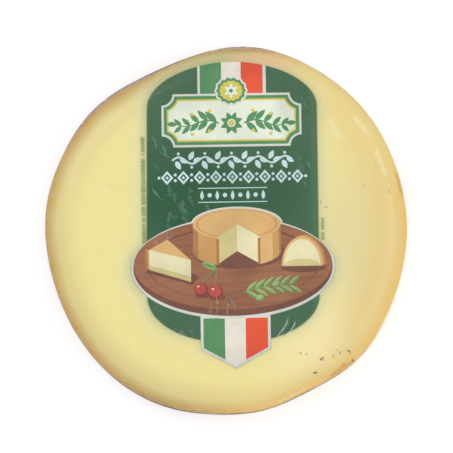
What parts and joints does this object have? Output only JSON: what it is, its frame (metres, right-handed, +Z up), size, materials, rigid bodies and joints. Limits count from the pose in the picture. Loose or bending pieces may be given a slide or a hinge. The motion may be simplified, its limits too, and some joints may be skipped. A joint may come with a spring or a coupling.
{
  "type": "provolone cheese",
  "caption": "Thick round slice of smoked provolone cheese, vacuum-packed in clear film with a printed label, lying flat.",
  "frame": {"origin": "under the middle of the pack's outline, on the surface it rests on", "axes": "+Z up out of the labelled cut face, +Y to the top of the label, +X to the label's right"},
  "size_m": [0.1507, 0.153, 0.0306],
  "materials": {
    "cheese": "satin",
    "label": "satin",
    "film": "gloss"
  },
  "bodies": {
    "root": {"wrapped_cheese": "cheese", "label": "label"}
  },
  "joints": []
}
